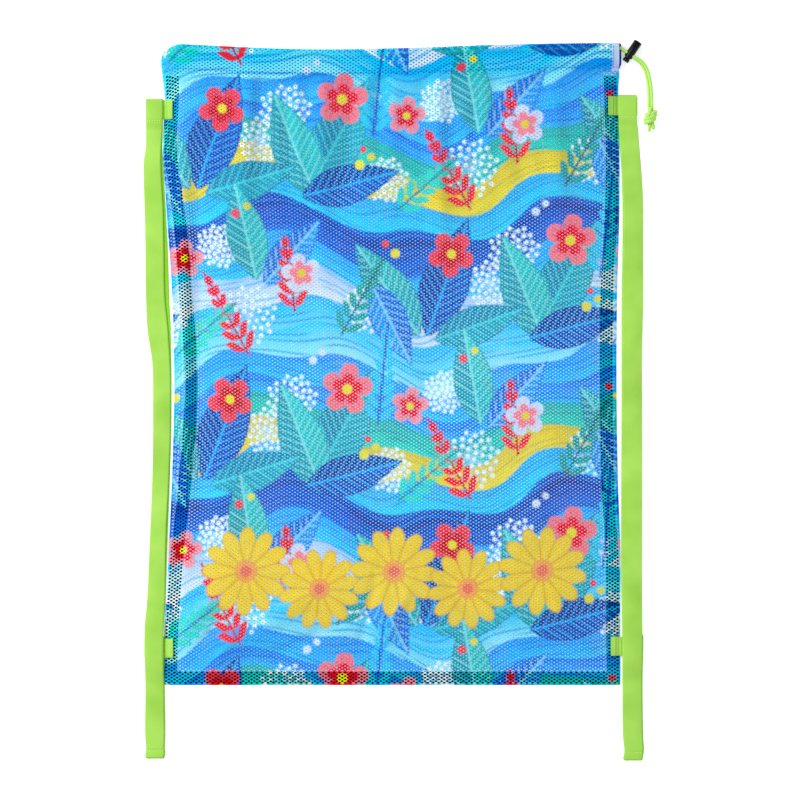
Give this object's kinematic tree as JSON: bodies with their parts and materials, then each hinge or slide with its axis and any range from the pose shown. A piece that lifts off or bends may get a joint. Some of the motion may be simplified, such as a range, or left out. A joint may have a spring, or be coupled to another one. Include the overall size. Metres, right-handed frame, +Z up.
{
  "type": "mesh equipment bag",
  "caption": "Flat drawstring backpack of printed mesh with webbing shoulder straps on side tabs and a corded mouth closed by a spring cord lock.",
  "frame": {"origin": "middle of the back panel's underside, on the surface that the bag lies on", "axes": "+Z up out of the front panel, +Y along the bag towards its mouth, +X to the right as seen from the front"},
  "size_m": [0.5233, 0.7348, 0.0192],
  "materials": {
    "printed_mesh": "printed open polyester mesh",
    "black_tape": "woven binding tape",
    "neon_webbing": "smooth folded webbing",
    "neon_cord": "braided round cord",
    "black_plastic": "satin moulded plastic"
  },
  "bodies": {
    "bag": {"front_panel": "printed_mesh", "back_panel": "printed_mesh", "seam_binding_left": "black_tape", "seam_binding_right": "black_tape", "seam_binding_bottom": "black_tape", "tab_upper_left": "neon_webbing", "tab_upper_right": "neon_webbing", "tab_lower_left": "neon_webbing", "tab_lower_right": "neon_webbing", "strap_left": "neon_webbing", "strap_right": "neon_webbing", "drawcord_front_run": "neon_cord", "drawcord_back_run": "neon_cord", "drawcord_turn": "neon_cord", "drawcord_front_strand": "neon_cord", "drawcord_back_strand": "neon_cord", "drawcord_knot": "neon_cord", "cord_lock_barrel": "black_plastic"},
    "plunger": {"cord_lock_plunger": "black_plastic"}
  },
  "joints": [
    {"name": "plunger_press", "type": "slide", "parent": "bag", "child": "plunger", "axis": [0.5534, 0.8329, 0], "range_m": [0, 0.0025], "stiffness_N_per_m": 500}
  ]
}
